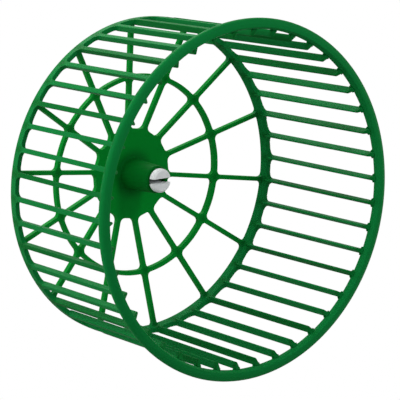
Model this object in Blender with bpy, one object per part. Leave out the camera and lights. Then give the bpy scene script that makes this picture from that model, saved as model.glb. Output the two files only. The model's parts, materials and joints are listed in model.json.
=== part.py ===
"""Hamster wheel: a green plastic cage drum that spins on a white split pin, with the clamp that hangs it.

Metres, +Z up. The wheel turns about the Y axis and its open mouth faces -Y. The wires of the cage
wall pass between y = 0 and y = WIRE_SPACE, so the origin is where the axis meets the face of the
wall plate that bears on them.

The green drum is one moulding on the real object. Here it is divided at its joints into the bars
and rings that it is made of, so that every window and slot between them stays open.
"""

import math

import bmesh
import bpy
from mathutils import Matrix

# Clearances: the gap between pieces, and how far the wheel may slide along its pin
GAP = 0.0003
END_FLOAT = 0.0008
CUT_OVERRUN = 0.002
MERGE_DISTANCE = 0.000001

# Drum: rim at the mouth, ring at the back, and the depth from one to the other
RIM_OUTER_RADIUS = 0.0700
RIM_WALL = 0.0041
RIM_DEPTH = 0.0030
RIM_DRAFT = 0.0004
RIM_FRONT_ROUND = 0.0009
RIM_EDGE_CHAMFER = 0.0003
RING_OUTER_RADIUS = 0.0637
RING_WALL = 0.0020
RING_DEPTH = 0.0034
RING_EDGE_CHAMFER = 0.0003
DRUM_DEPTH = 0.0671

# Rungs: tapered slats between the ring and the rim
RUNG_OUTER_WIDTH = 0.0021
RUNG_INNER_WIDTH = 0.0009
RUNG_HEIGHT = 0.0026
RUNG_PROUD = 0.0002
RUNG_LAP = 0.0012
RUNG_END_SLANT = 0.0012
RUNG_EDGE_CHAMFER = 0.0002
RUNGS_PER_SPOKE = 3

# Web: a flat hub and straight spokes that slope forward to the ring, with a ring halfway
HUB_RADIUS = 0.0184
WEB_THICKNESS = 0.0020
WEB_DISH = 0.0076
WEB_SET_FORWARD = 0.0005
SPOKE_WIDTH = 0.0018
SPOKE_COUNT = 14
MID_RING_RADIUS = 0.0397
MID_RING_WIDTH = 0.0019

# Boss: the tapered tube on the hub that runs on the pin
BOSS_LENGTH = 0.0160
BOSS_TIP_WALL = 0.0017
BOSS_TAPER = 0.0008
BOSS_EDGE_CHAMFER = 0.0003

# Axle pin: split snap head, shank, collar, and a stud that passes through the cage wall
SHANK_RADIUS = 0.0035
HEAD_LIP = 0.0013
HEAD_LAND = 0.0018
HEAD_TAPER_LENGTH = 0.0008
HEAD_TAPER = 0.0009
HEAD_SLOT_WIDTH = 0.0018
HEAD_SLOT_DEPTH = 0.0140
COLLAR_LIP = 0.0035
COLLAR_THICKNESS = 0.0020
STUD_RADIUS = 0.0025
STUD_TAIL = 0.0012
PIN_EDGE_CHAMFER = 0.0004

# Clamp on the cage wall
WIRE_SPACE = 0.0030
WALL_PLATE_RADIUS = 0.0100
WALL_PLATE_THICKNESS = 0.0030
CLAMP_PLATE_RADIUS = 0.0078
CLAMP_PLATE_THICKNESS = 0.0025
PLATE_EDGE_CHAMFER = 0.0004
NUT_RADIUS = 0.0045
NUT_HEIGHT = 0.0045
NUT_EDGE_CHAMFER = 0.0004
WING_REACH = 0.0082
WING_THICKNESS = 0.0018
WING_END_RADIUS = 0.0019

# How far the wheel is turned in the rest pose, from a spoke pointing straight up
REST_TURN = math.radians(21.2)

# Facets round each kind of circle
DRUM_SIDES = 84
SMALL_SIDES = 40
WING_ARC_STEPS = 6

# Stations along the axis, from the cage wall towards the mouth
Y_COLLAR_BACK = -(WALL_PLATE_THICKNESS + GAP)
Y_COLLAR_FRONT = Y_COLLAR_BACK - COLLAR_THICKNESS
Y_HUB_BACK = Y_COLLAR_FRONT - GAP
Y_HUB_FRONT = Y_HUB_BACK - WEB_THICKNESS
Y_BOSS_BASE = Y_HUB_FRONT - GAP
Y_BOSS_TIP = Y_HUB_FRONT - BOSS_LENGTH
Y_HEAD_BASE = Y_BOSS_TIP - END_FLOAT
Y_HEAD_LAND_END = Y_HEAD_BASE - HEAD_LAND
Y_HEAD_TIP = Y_HEAD_LAND_END - HEAD_TAPER_LENGTH
Y_WEB_MIDDLE = (Y_HUB_BACK + Y_HUB_FRONT) / 2
Y_RING_BACK = Y_WEB_MIDDLE - WEB_DISH + WEB_SET_FORWARD
Y_RING_FRONT = Y_RING_BACK - RING_DEPTH
Y_RIM_FRONT = Y_RING_BACK - DRUM_DEPTH
Y_RIM_BACK = Y_RIM_FRONT + RIM_DEPTH

# Stations from the cage wall outwards
Y_CLAMP_BACK = WIRE_SPACE + CLAMP_PLATE_THICKNESS
Y_NUT_BASE = Y_CLAMP_BACK + GAP
Y_NUT_TOP = Y_NUT_BASE + NUT_HEIGHT
Y_STUD_END = Y_NUT_TOP + STUD_TAIL

# Radii that follow from the sizes above
RIM_INNER_RADIUS = RIM_OUTER_RADIUS - RIM_WALL
RING_INNER_RADIUS = RING_OUTER_RADIUS - RING_WALL
RUNG_FRONT_RADIUS = RIM_INNER_RADIUS - GAP
RUNG_BACK_RADIUS = RING_OUTER_RADIUS + RUNG_PROUD
SPOKE_END_RADIUS = RING_INNER_RADIUS - GAP
BORE_RADIUS = SHANK_RADIUS + GAP
BOSS_TIP_RADIUS = BORE_RADIUS + BOSS_TIP_WALL
BOSS_BASE_RADIUS = BOSS_TIP_RADIUS + BOSS_TAPER
HEAD_RADIUS = SHANK_RADIUS + HEAD_LIP
HEAD_TIP_RADIUS = HEAD_RADIUS - HEAD_TAPER
COLLAR_RADIUS = SHANK_RADIUS + COLLAR_LIP
STUD_HOLE_RADIUS = STUD_RADIUS + GAP

GREEN = (0.010, 0.205, 0.060, 1.0)
GREEN_ROUGHNESS = 0.34
WHITE = (0.780, 0.790, 0.790, 1.0)
WHITE_ROUGHNESS = 0.42


def clear_scene():
    for obj in list(bpy.data.objects):
        bpy.data.objects.remove(obj, do_unlink=True)


def plastic(name, colour, roughness):
    material = bpy.data.materials.new(name)
    material.use_nodes = True
    shader = material.node_tree.nodes["Principled BSDF"]
    shader.inputs["Base Color"].default_value = colour
    shader.inputs["Roughness"].default_value = roughness
    shader.inputs["Metallic"].default_value = 0.0
    material.diffuse_color = colour
    return material


def finish_mesh(bm, name):
    """Close a bmesh into a mesh with its faces pointing out."""
    bmesh.ops.remove_doubles(bm, verts=bm.verts, dist=MERGE_DISTANCE)
    bmesh.ops.recalc_face_normals(bm, faces=bm.faces)
    mesh = bpy.data.meshes.new(name)
    bm.to_mesh(mesh)
    bm.free()
    return mesh


def place(name, mesh, parent=None, turn=0.0):
    obj = bpy.data.objects.new(name, mesh)
    bpy.context.scene.collection.objects.link(obj)
    obj.rotation_euler = (0.0, turn, 0.0)
    obj.parent = parent
    return obj


def finish_green(obj):
    obj.data.materials.append(plastic(obj.name + "_plastic", GREEN, GREEN_ROUGHNESS))


def finish_white(obj):
    obj.data.materials.append(plastic(obj.name + "_plastic", WHITE, WHITE_ROUGHNESS))


def shade_round(obj):
    obj.data.shade_smooth()
    obj.data.set_sharp_from_angle(angle=math.radians(30))


def turned(name, profile, sides):
    """Mesh turned about the Y axis from (radius, y) points.

    A profile that starts and ends on the axis makes a solid, and any other is closed into a ring.
    """
    bm = bmesh.new()
    verts = [bm.verts.new((0.0, y, radius)) for radius, y in profile]
    pairs = list(zip(verts, verts[1:]))
    if profile[0][0] > 0.0:
        pairs.append((verts[-1], verts[0]))
    edges = [bm.edges.new(pair) for pair in pairs]
    bmesh.ops.spin(
        bm,
        geom=verts + edges,
        cent=(0.0, 0.0, 0.0),
        axis=(0.0, 1.0, 0.0),
        angle=math.tau,
        steps=sides,
        use_merge=True,
    )
    return finish_mesh(bm, name)


def tube_profile(inner, outer_front, outer_back, y_front, y_back, chamfer):
    """Section of a plain tube whose outer edges are chamfered."""
    return [
        (inner, y_front),
        (outer_front - chamfer, y_front),
        (outer_front, y_front + chamfer),
        (outer_back, y_back - chamfer),
        (outer_back - chamfer, y_back),
        (inner, y_back),
    ]


def thicken(bm, faces, shift):
    """Extrude flat faces into a solid along a vector."""
    extruded = bmesh.ops.extrude_face_region(bm, geom=faces)["geom"]
    moved = [item for item in extruded if isinstance(item, bmesh.types.BMVert)]
    bmesh.ops.translate(bm, vec=shift, verts=moved)


def cut(obj, cutter, operation="DIFFERENCE"):
    modifier = obj.modifiers.new(cutter.name, "BOOLEAN")
    modifier.operation = operation
    modifier.solver = "EXACT"
    modifier.object = cutter
    cutter.hide_render = True
    cutter.display_type = "WIRE"


def web_y(radius):
    """Middle of the web's thickness at a radius outside the hub."""
    return Y_WEB_MIDDLE - WEB_DISH * (radius - HUB_RADIUS) / (RING_INNER_RADIUS - HUB_RADIUS)


def wedge(bm, turn, corners):
    """Add a six-sided solid from its eight (across, y, out) corners, turned about the Y axis."""
    verts = [bm.verts.new((across, y, out)) for across, y, out in corners]
    for loop in ((0, 1, 3, 2), (4, 6, 7, 5), (0, 4, 5, 1), (2, 3, 7, 6), (0, 2, 6, 4), (1, 5, 7, 3)):
        bm.faces.new([verts[i] for i in loop])
    bmesh.ops.rotate(bm, verts=verts, cent=(0.0, 0.0, 0.0), matrix=Matrix.Rotation(turn, 3, "Y"))


def make_rungs(wheel):
    """Forty-two slats, wider outside than inside, that lap under the rim with a slanted end."""
    y_back = Y_RING_FRONT - GAP
    y_outer_end = Y_RIM_BACK - RUNG_LAP
    y_inner_end = y_outer_end + RUNG_END_SLANT
    rise = (RUNG_FRONT_RADIUS - RUNG_BACK_RADIUS) / (y_back - y_outer_end)
    inner_front_radius = RUNG_FRONT_RADIUS - RUNG_HEIGHT - rise * RUNG_END_SLANT
    corners = []
    for radius, y, width in (
        (RUNG_BACK_RADIUS, y_back, RUNG_OUTER_WIDTH),
        (RUNG_BACK_RADIUS - RUNG_HEIGHT, y_back, RUNG_INNER_WIDTH),
        (RUNG_FRONT_RADIUS, y_outer_end, RUNG_OUTER_WIDTH),
        (inner_front_radius, y_inner_end, RUNG_INNER_WIDTH),
    ):
        corners += [(-width / 2, y, radius), (width / 2, y, radius)]
    bm = bmesh.new()
    wedge(bm, 0.0, corners)
    bmesh.ops.recalc_face_normals(bm, faces=bm.faces)
    bmesh.ops.bevel(
        bm,
        geom=bm.edges[:],
        offset=RUNG_EDGE_CHAMFER,
        segments=1,
        profile=0.5,
        affect="EDGES",
    )
    mesh = finish_mesh(bm, "rung")
    mesh.materials.append(plastic("rung_plastic", GREEN, GREEN_ROUGHNESS))
    count = SPOKE_COUNT * RUNGS_PER_SPOKE
    for number in range(count):
        place(f"rung_{number + 1:02d}", mesh, wheel, math.tau * number / count)


def make_front_rim(wheel):
    back_radius = RIM_OUTER_RADIUS - RIM_DRAFT
    profile = [
        (RIM_INNER_RADIUS + RIM_EDGE_CHAMFER, Y_RIM_FRONT),
        (RIM_OUTER_RADIUS - RIM_FRONT_ROUND, Y_RIM_FRONT),
        (RIM_OUTER_RADIUS, Y_RIM_FRONT + RIM_FRONT_ROUND),
        (back_radius, Y_RIM_BACK - RIM_EDGE_CHAMFER),
        (back_radius - RIM_EDGE_CHAMFER, Y_RIM_BACK),
        (RIM_INNER_RADIUS, Y_RIM_BACK),
        (RIM_INNER_RADIUS, Y_RIM_FRONT + RIM_EDGE_CHAMFER),
    ]
    rim = place("front_rim", turned("front_rim", profile, DRUM_SIDES), wheel)
    shade_round(rim)
    finish_green(rim)


def make_back_ring(wheel):
    profile = tube_profile(
        RING_INNER_RADIUS,
        RING_OUTER_RADIUS,
        RING_OUTER_RADIUS,
        Y_RING_FRONT,
        Y_RING_BACK,
        RING_EDGE_CHAMFER,
    )
    ring = place("back_ring", turned("back_ring", profile, DRUM_SIDES), wheel)
    shade_round(ring)
    finish_green(ring)


def make_mid_ring(wheel):
    """Ring halfway out along the spokes, halved over its front where each spoke crosses it."""
    inner = MID_RING_RADIUS - MID_RING_WIDTH / 2
    outer = MID_RING_RADIUS + MID_RING_WIDTH / 2
    half = WEB_THICKNESS / 2
    profile = [
        (inner, web_y(inner) - half),
        (outer, web_y(outer) - half),
        (outer, web_y(outer) + half),
        (inner, web_y(inner) + half),
    ]
    ring = place("mid_ring", turned("mid_ring", profile, DRUM_SIDES), wheel)
    bm = bmesh.new()
    across = SPOKE_WIDTH / 2 + GAP
    near = inner - CUT_OVERRUN
    far = outer + CUT_OVERRUN
    corners = []
    for radius in (near, far):
        for y in (web_y(radius) + GAP / 2, web_y(radius) - half - CUT_OVERRUN):
            corners += [(-across, y, radius), (across, y, radius)]
    for number in range(SPOKE_COUNT):
        wedge(bm, math.tau * number / SPOKE_COUNT, corners)
    cutter = place("mid_ring_spoke_halvings", finish_mesh(bm, "mid_ring_spoke_halvings"), wheel)
    cut(ring, cutter)
    finish_green(ring)


def make_hub_spider(wheel):
    """Flat hub with its spokes, halved over the back where the mid ring crosses, and bored."""
    bm = bmesh.new()
    base = math.sqrt(HUB_RADIUS**2 - (SPOKE_WIDTH / 2) ** 2)
    faces = []
    hub_corners = []
    for number in range(SPOKE_COUNT):
        turn = Matrix.Rotation(math.tau * number / SPOKE_COUNT, 3, "Y")
        arm = []
        for radius, y, across in (
            (base, Y_HUB_FRONT, -SPOKE_WIDTH / 2),
            (SPOKE_END_RADIUS, web_y(SPOKE_END_RADIUS) - WEB_THICKNESS / 2, -SPOKE_WIDTH / 2),
            (SPOKE_END_RADIUS, web_y(SPOKE_END_RADIUS) - WEB_THICKNESS / 2, SPOKE_WIDTH / 2),
            (base, Y_HUB_FRONT, SPOKE_WIDTH / 2),
        ):
            vert = bm.verts.new((across, y, radius))
            vert.co.rotate(turn)
            arm.append(vert)
        faces.append(bm.faces.new(arm))
        hub_corners += [arm[0], arm[3]]
    faces.append(bm.faces.new(hub_corners))
    thicken(bm, faces, (0.0, WEB_THICKNESS, 0.0))
    spider = place("hub_spider", finish_mesh(bm, "hub_spider"), wheel)

    inner = MID_RING_RADIUS - MID_RING_WIDTH / 2 - GAP
    outer = MID_RING_RADIUS + MID_RING_WIDTH / 2 + GAP
    profile = [
        (inner, web_y(inner) - GAP / 2),
        (outer, web_y(outer) - GAP / 2),
        (outer, web_y(inner) + WEB_THICKNESS / 2 + CUT_OVERRUN),
        (inner, web_y(inner) + WEB_THICKNESS / 2 + CUT_OVERRUN),
    ]
    halving = place("spider_ring_halving", turned("spider_ring_halving", profile, DRUM_SIDES), wheel)
    cut(spider, halving)
    bore_profile = [
        (0.0, Y_HUB_FRONT - CUT_OVERRUN),
        (BORE_RADIUS, Y_HUB_FRONT - CUT_OVERRUN),
        (BORE_RADIUS, Y_HUB_BACK + CUT_OVERRUN),
        (0.0, Y_HUB_BACK + CUT_OVERRUN),
    ]
    bore = place("spider_bore", turned("spider_bore", bore_profile, SMALL_SIDES), wheel)
    cut(spider, bore)
    finish_green(spider)


def make_hub_boss(wheel):
    profile = tube_profile(
        BORE_RADIUS,
        BOSS_TIP_RADIUS,
        BOSS_BASE_RADIUS,
        Y_BOSS_TIP,
        Y_BOSS_BASE,
        BOSS_EDGE_CHAMFER,
    )
    boss = place("hub_boss", turned("hub_boss", profile, SMALL_SIDES), wheel)
    shade_round(boss)
    finish_green(boss)


def make_axle_pin():
    profile = [
        (0.0, Y_HEAD_TIP),
        (HEAD_TIP_RADIUS, Y_HEAD_TIP),
        (HEAD_RADIUS, Y_HEAD_LAND_END),
        (HEAD_RADIUS, Y_HEAD_BASE),
        (SHANK_RADIUS, Y_HEAD_BASE),
        (SHANK_RADIUS, Y_COLLAR_FRONT),
        (COLLAR_RADIUS - PIN_EDGE_CHAMFER, Y_COLLAR_FRONT),
        (COLLAR_RADIUS, Y_COLLAR_FRONT + PIN_EDGE_CHAMFER),
        (COLLAR_RADIUS, Y_COLLAR_BACK),
        (STUD_RADIUS, Y_COLLAR_BACK),
        (STUD_RADIUS, Y_STUD_END - PIN_EDGE_CHAMFER),
        (STUD_RADIUS - PIN_EDGE_CHAMFER, Y_STUD_END),
        (0.0, Y_STUD_END),
    ]
    pin = place("axle_pin", turned("axle_pin", profile, SMALL_SIDES))
    bm = bmesh.new()
    reach = HEAD_RADIUS + CUT_OVERRUN
    corners = []
    for y in (Y_HEAD_TIP - CUT_OVERRUN, Y_HEAD_TIP + HEAD_SLOT_DEPTH):
        for height in (-HEAD_SLOT_WIDTH / 2, HEAD_SLOT_WIDTH / 2):
            corners += [(-reach, y, height), (reach, y, height)]
    wedge(bm, 0.0, corners)
    cut(pin, place("pin_slot", finish_mesh(bm, "pin_slot")))
    shade_round(pin)
    finish_white(pin)


def make_plate(name, radius, thickness, y_front):
    """Round plate that bears on the cage wires, with a hole for the stud."""
    profile = tube_profile(
        STUD_HOLE_RADIUS,
        radius,
        radius,
        y_front,
        y_front + thickness,
        PLATE_EDGE_CHAMFER,
    )
    plate = place(name, turned(name, profile, SMALL_SIDES))
    shade_round(plate)
    finish_white(plate)


def make_wing_nut():
    """Round nut with two tabs for the fingers, one up and one down."""
    profile = [
        (0.0, Y_NUT_BASE),
        (NUT_RADIUS, Y_NUT_BASE),
        (NUT_RADIUS, Y_NUT_TOP - NUT_EDGE_CHAMFER),
        (NUT_RADIUS - NUT_EDGE_CHAMFER, Y_NUT_TOP),
        (0.0, Y_NUT_TOP),
    ]
    nut = place("wing_nut", turned("wing_nut", profile, SMALL_SIDES))
    bm = bmesh.new()
    y_middle = (Y_NUT_BASE + Y_NUT_TOP) / 2
    outline = []
    for side in (1, -1):
        for step in range(WING_ARC_STEPS + 1):
            angle = math.pi * step / WING_ARC_STEPS
            y = y_middle + side * WING_END_RADIUS * math.cos(angle)
            z = side * (WING_REACH - WING_END_RADIUS + WING_END_RADIUS * math.sin(angle))
            outline.append(bm.verts.new((-WING_THICKNESS / 2, y, z)))
    thicken(bm, [bm.faces.new(outline)], (WING_THICKNESS, 0.0, 0.0))
    cut(nut, place("nut_wings", finish_mesh(bm, "nut_wings")), "UNION")
    hole_profile = [
        (0.0, Y_NUT_BASE - CUT_OVERRUN),
        (STUD_HOLE_RADIUS, Y_NUT_BASE - CUT_OVERRUN),
        (STUD_HOLE_RADIUS, Y_NUT_TOP + CUT_OVERRUN),
        (0.0, Y_NUT_TOP + CUT_OVERRUN),
    ]
    cut(nut, place("nut_hole", turned("nut_hole", hole_profile, SMALL_SIDES)))
    shade_round(nut)
    finish_white(nut)


def main():
    clear_scene()
    wheel = bpy.data.objects.new("wheel_axis", None)
    bpy.context.scene.collection.objects.link(wheel)
    wheel.rotation_euler = (0.0, REST_TURN, 0.0)
    make_front_rim(wheel)
    make_rungs(wheel)
    make_back_ring(wheel)
    make_mid_ring(wheel)
    make_hub_spider(wheel)
    make_hub_boss(wheel)
    make_axle_pin()
    make_plate("wall_plate", WALL_PLATE_RADIUS, WALL_PLATE_THICKNESS, -WALL_PLATE_THICKNESS)
    make_plate("clamp_plate", CLAMP_PLATE_RADIUS, CLAMP_PLATE_THICKNESS, WIRE_SPACE)
    make_wing_nut()


main()
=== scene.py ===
"""Looks of a hamster wheel: a green plastic cage drum on a split white pin, with its wall clamp.

The wheel is one seamless moulding. A fourteenth of its web and a forty-second of its drum are
modelled, copied round the axis and merged. Metres, +Z up; the wheel turns about Y, mouth to -Y.
"""

import json
import math

import bmesh
import bpy
from mathutils import Matrix, Vector


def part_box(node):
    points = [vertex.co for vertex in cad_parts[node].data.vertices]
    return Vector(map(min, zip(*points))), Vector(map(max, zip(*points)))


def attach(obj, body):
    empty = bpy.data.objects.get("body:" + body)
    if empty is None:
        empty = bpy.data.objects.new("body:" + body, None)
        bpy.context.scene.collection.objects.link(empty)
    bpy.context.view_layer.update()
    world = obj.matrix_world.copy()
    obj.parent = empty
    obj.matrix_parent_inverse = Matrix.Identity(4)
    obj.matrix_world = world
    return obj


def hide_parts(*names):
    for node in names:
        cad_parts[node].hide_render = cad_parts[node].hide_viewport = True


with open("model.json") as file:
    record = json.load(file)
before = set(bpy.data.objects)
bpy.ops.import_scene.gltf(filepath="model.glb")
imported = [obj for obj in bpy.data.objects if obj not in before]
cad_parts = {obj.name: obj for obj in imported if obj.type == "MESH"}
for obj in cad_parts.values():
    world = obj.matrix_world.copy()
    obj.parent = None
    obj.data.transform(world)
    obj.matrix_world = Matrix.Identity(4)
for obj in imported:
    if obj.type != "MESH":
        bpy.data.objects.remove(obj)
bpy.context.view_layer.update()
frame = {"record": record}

bl_info = {
    "name": "Hamster wheel",
    "version": (1, 0, 0),
    "blender": (4, 5, 0),
    "location": "View3D > Sidebar > Hamster wheel",
    "description": "Models a hamster wheel, its axle pin and its wall clamp, and a plain studio",
    "category": "Object",
}

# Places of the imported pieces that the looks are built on
RIM_LOW, RIM_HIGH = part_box("front_rim")
RING_LOW, RING_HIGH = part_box("back_ring")
SPIDER_LOW, SPIDER_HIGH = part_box("hub_spider")
BOSS_LOW, BOSS_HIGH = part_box("hub_boss")
PIN_LOW, PIN_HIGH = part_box("axle_pin")
WALL_LOW, WALL_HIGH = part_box("wall_plate")
CLAMP_LOW, CLAMP_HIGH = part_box("clamp_plate")
NUT_LOW, NUT_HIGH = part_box("wing_nut")
WHEEL_NODES = list(frame["record"]["behaviour"]["bodies"]["wheel"])

# What repeats round the axle, and how far the first spoke is turned from straight up
SPOKES = 14
RUNGS = 42
REST_TURN = math.radians(21.2)

# Steps of round shapes
STEPS_PER_RUNG = 4
ROUND_STEPS = RUNGS * STEPS_PER_RUNG
PIN_STEPS = 64
FLOOR_STEPS = 96
FILLET_STEPS = 4

# Small lengths: doubles merge within one, and the others are how far pieces reach into each other
# before a union, how far near-flush faces stay apart, and how far a cutter passes what it cuts
MM = 0.001
MERGE_DISTANCE = 0.01 * MM
SINK = 0.3 * MM
HAIR = SINK / 4
OVERRUN = 2.0 * MM

# The slope behind a plate's edge, the wall and the wider foot of the low boss round its hole
PLATE_SLOPE = 1.2 * MM
BOSS_WALL = 2.4 * MM
BOSS_FOOT = 0.6 * MM

# The nut's taper, where its wings start beyond its hole, and their border, hollow and rounding
NUT_TAPER = 0.3 * MM
WING_START = 0.6 * MM
WING_BORDER = 0.5 * MM
WING_HOLLOW = 0.25 * MM
WING_ROUND = 0.2 * MM

# Angles: a seam between copies, faces that count as flat, a window's corner, a crease that shows
SEAM_ANGLE = math.radians(0.01)
FLAT_ANGLE = math.radians(0.5)
CORNER_ANGLE = 0.5
CREASE_ANGLE = math.radians(35)

ORIGIN = (0.0, 0.0, 0.0)
BLACK = (0.0, 0.0, 0.0, 1.0)
WHITE = (1.0, 1.0, 1.0, 1.0)
AXLE = (0.0, 1.0, 0.0)

# Each lamp's place to the right, up and nearer the camera than what it lights, and its width
LAMPS = (
    ("top", (-0.10, 0.36, -0.15), 0.30),
    ("side", (-0.34, 0.15, 0.22), 0.25),
    ("front", (0.26, 0.26, 0.30), 0.12),
)
# A side of the surround is at full strength where this share of a direction points to it
FULL_STRENGTH_SHARE = 0.9
SENSOR_WIDTH = 36.0


def number(name, description, default, **limits):
    """A number property."""
    return bpy.props.FloatProperty(name=name, description=description, default=default, **limits)


def length(name, description, default):
    """A length property, shown in the scene's units."""
    return number(name, description, default, min=0.0, unit="LENGTH", subtype="DISTANCE", precision=5)


def angle_of(name, description, degrees):
    """An angle property, from its default in degrees."""
    return number(name, description, math.radians(degrees), unit="ROTATION", subtype="ANGLE")


def colour(name, description, default):
    """A colour property without alpha."""
    return bpy.props.FloatVectorProperty(
        name=name, description=description, default=default, size=3, min=0.0, max=1.0, subtype="COLOR"
    )


def share(name, description, default):
    """A property from 0 to 1."""
    return number(name, description, default, min=0.0, max=1.0, subtype="FACTOR")


class HAMSTERWHEEL_PG_drum(bpy.types.PropertyGroup):
    """Sizes of the rim, the back ring and the rungs"""

    rim_radius: length("Rim radius", "Outer radius of the rim", RIM_HIGH.z)
    rim_wall: length("Rim wall", "Width of the rim's front face", 0.0045)
    rim_draft: length("Rim draft", "How much the rim narrows to its back", 0.0004)
    rim_front_round: length("Rim front rounding", "Rounding of the rim's outer front edge", 0.0012)
    lip_width: length("Lip width", "Width of the slope inside the rim's front", 0.0008)
    lip_depth: length("Lip depth", "Depth of the slope inside the rim's front", 0.0016)
    crown_width: length("Crown width", "Width of the outer part of the rim's front", 0.0022)
    crown_depth: length("Crown depth", "How far the rim's outer front slopes back", 0.0009)
    edge_round: length("Edge rounding", "Rounding of the drum's other edges", 0.0003)
    ring_radius: length("Ring radius", "Outer radius of the back ring", RING_HIGH.z)
    ring_wall: length("Ring wall", "Thickness of the back ring", 0.0020)
    ring_taper: length("Ring taper", "How much the ring narrows outside", 0.0002)
    ring_draft: length("Ring draft", "How much the ring narrows inside", 0.0008)
    rung_outer_width: length("Rung outer width", "Width of a rung's outer side", 0.00215)
    rung_inner_width: length("Rung inner width", "Width of a rung's inner side", 0.0007)
    rung_height: length("Rung height", "Radial height of a rung", 0.0027)
    rung_proud: length("Rung proud of ring", "How far a rung stands out of the ring", 0.0002)
    rung_drop: length("Rung below rim", "Step from the rim in to a rung", 0.0001)
    rung_lap: length("Rung lap", "How far a rung reaches under the rim", 0.0012)
    rung_slant: length("Rung end slant", "How far back a rung's end slopes", 0.0013)
    rung_edge: length("Rung edge rounding", "Rounding of a rung's long edges", 0.0003)
    root_fillet: length("Root fillet", "Fillet between a rung and the back ring", 0.0020)
    mouth_fillet: length("Mouth fillet", "Fillet between a rung and the rim", 0.0008)
    mouth_depth: length("Mouth fillet depth", "How far in the fillet at the rim reaches", 0.0006)


class HAMSTERWHEEL_PG_web(bpy.types.PropertyGroup):
    """Sizes of the spoked web behind the drum, and of its boss"""

    thickness: length("Web thickness", "Thickness of hub, spokes and middle ring", 0.0020)
    dish: length("Web dish", "How far the hub stands behind the web's edge", 0.0075)
    hub_flat: length("Hub flat", "From the axis to a straight side of the hub", 0.01795)
    spoke_width: length("Spoke width", "Width of a spoke", 0.0017)
    mid_ring_radius: length("Middle ring radius", "Radius of the ring across the spokes", 0.0395)
    mid_ring_width: length("Middle ring width", "Width of the ring across the spokes", 0.00175)
    window_reach: length("Window reach", "Outer radius of the outer windows", 0.0616)
    window_corner: length("Window corner", "Rounding of the windows' corners", 0.0018)
    edge_round: length("Web edge rounding", "Rounding of the web's edges", 0.00025)
    boss_tip_radius: length("Boss tip radius", "Radius of the boss at its tip", 0.0055)
    boss_base_radius: length("Boss base radius", "Radius of the boss at the hub", BOSS_HIGH.x)
    bore_radius: length("Bore radius", "Radius of the hole for the pin", 0.0038)
    boss_fillet: length("Boss fillet", "Fillet between the boss and the hub", 0.0009)
    boss_tip_round: length("Boss tip rounding", "Rounding of the boss's tip", 0.0005)
    boss_land: length("Boss land", "Radius of the round part under the boss", 0.0090)


class HAMSTERWHEEL_PG_fixing(bpy.types.PropertyGroup):
    """Sizes of the axle pin, the two plates and the wing nut"""

    shank_radius: length("Shank radius", "Radius of the pin in the boss", 0.0035)
    head_radius: length("Head radius", "Largest radius of the snap head", 0.0046)
    head_tip_radius: length("Head tip radius", "Radius of the head's front face", 0.0039)
    head_land: length("Head land", "Length of the head's widest part", 0.0018)
    head_length: length("Head length", "Whole length of the snap head", 0.0026)
    slot_width: length("Slot width", "Width of the slot in the head", 0.0018)
    slot_depth: length("Slot depth", "Depth of the slot in the head", 0.0140)
    lower_spread: length("Lower prong spread", "How far the lower prong stands out", 0.00030)
    collar_radius: length("Collar radius", "Radius of the collar behind the hub", 0.0070)
    collar_thickness: length("Collar thickness", "Thickness of the collar behind the hub", 0.0020)
    stud_radius: length("Stud radius", "Radius of the stud through the wall", 0.0025)
    stud_gap: length("Stud gap", "Gap between the stud and its holes", 0.0003)
    nut_radius: length("Nut radius", "Radius of the nut's round body", 0.0045)
    wing_thickness: length("Wing thickness", "Thickness of the nut's two wings", 0.0018)
    wing_end_radius: length("Wing end radius", "Radius of the round end of a wing", 0.0019)
    edge_round: length("Edge rounding", "Rounding of the pin, plates and nut", 0.0004)


class HAMSTERWHEEL_PG_finish(bpy.types.PropertyGroup):
    """Colours and gloss of the two plastics, and of the floor"""

    green: colour("Green", "Green plastic of the drum", (0.0040, 0.172, 0.0350))
    # Painted light: a brighter green on the thinner web stands in for light from behind that shines through
    # it
    web_green: colour("Web green", "Green plastic of the thinner web", (0.0008, 0.232, 0.0215))
    # Painted shade: this darker green goes into the joints and round the boss, where shade falls
    deep_green: colour("Deep green", "Green plastic where it is thick", (0.0006, 0.090, 0.0085))
    green_roughness: share("Green roughness", "Roughness of the green plastic", 0.48)
    white: colour("White", "Pale plastic of the pin and the clamp", (0.74, 0.76, 0.77))
    shaded_white: colour("Shaded white", "Pale plastic in its flow marks", (0.62, 0.65, 0.66))
    white_roughness: share("White roughness", "Roughness of the pale plastic", 0.45)
    floor: colour("Floor", "Colour of the floor", (0.50, 0.50, 0.50))
    floor_glow: colour("Floor glow", "Light that the floor adds for the camera", (0.5, 0.5, 0.5))
    floor_roughness: share("Floor roughness", "Roughness of the floor", 0.8)


class HAMSTERWHEEL_PG_studio(bpy.types.PropertyGroup):
    """The camera, the lamps and the floor"""

    view_azimuth: angle_of("View azimuth", "Turn of the camera from straight ahead", -38.577)
    view_elevation: angle_of("View elevation", "Angle of the camera above level", 11.297)
    view_roll: angle_of("View roll", "Tilt of the camera about its line of sight", -0.430)
    view_distance: length("View distance", "From the camera to its target", 1.190733)
    view_depth: length("View depth", "From the wall plate's face to the camera's target", 0.050674)
    focal_length: number("Focal length", "Focal length of the lens", 277.445, unit="CAMERA")
    shift_x: number("Shift across", "Shift across, in picture widths", -0.0008)
    shift_y: number("Shift up", "Shift up, in picture widths", -0.0256)
    floor_drop: length("Floor drop", "From the axis down to the floor", 0.2600)
    floor_radius: length("Floor radius", "Radius of the round floor", 0.5200)
    top_power: number("Top power", "Power of the lamp above and behind the wheel", 0.96, unit="POWER")
    side_power: number("Side power", "Power of the lamp on the drum's side", 1.00, unit="POWER")
    front_power: number("Front power", "Power of the lamp above the camera's right side", 0.55, unit="POWER")
    surround_left: number("Surround left", "Strength of the surround at the left", 0.66)
    surround_right: number("Surround right", "Strength of the surround at the right", 0.56)
    surround_front: number("Surround front", "Strength of the surround behind the camera", 0.31)
    surround_behind: number("Surround behind", "Strength of the surround behind the wheel", 0.30)


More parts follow.
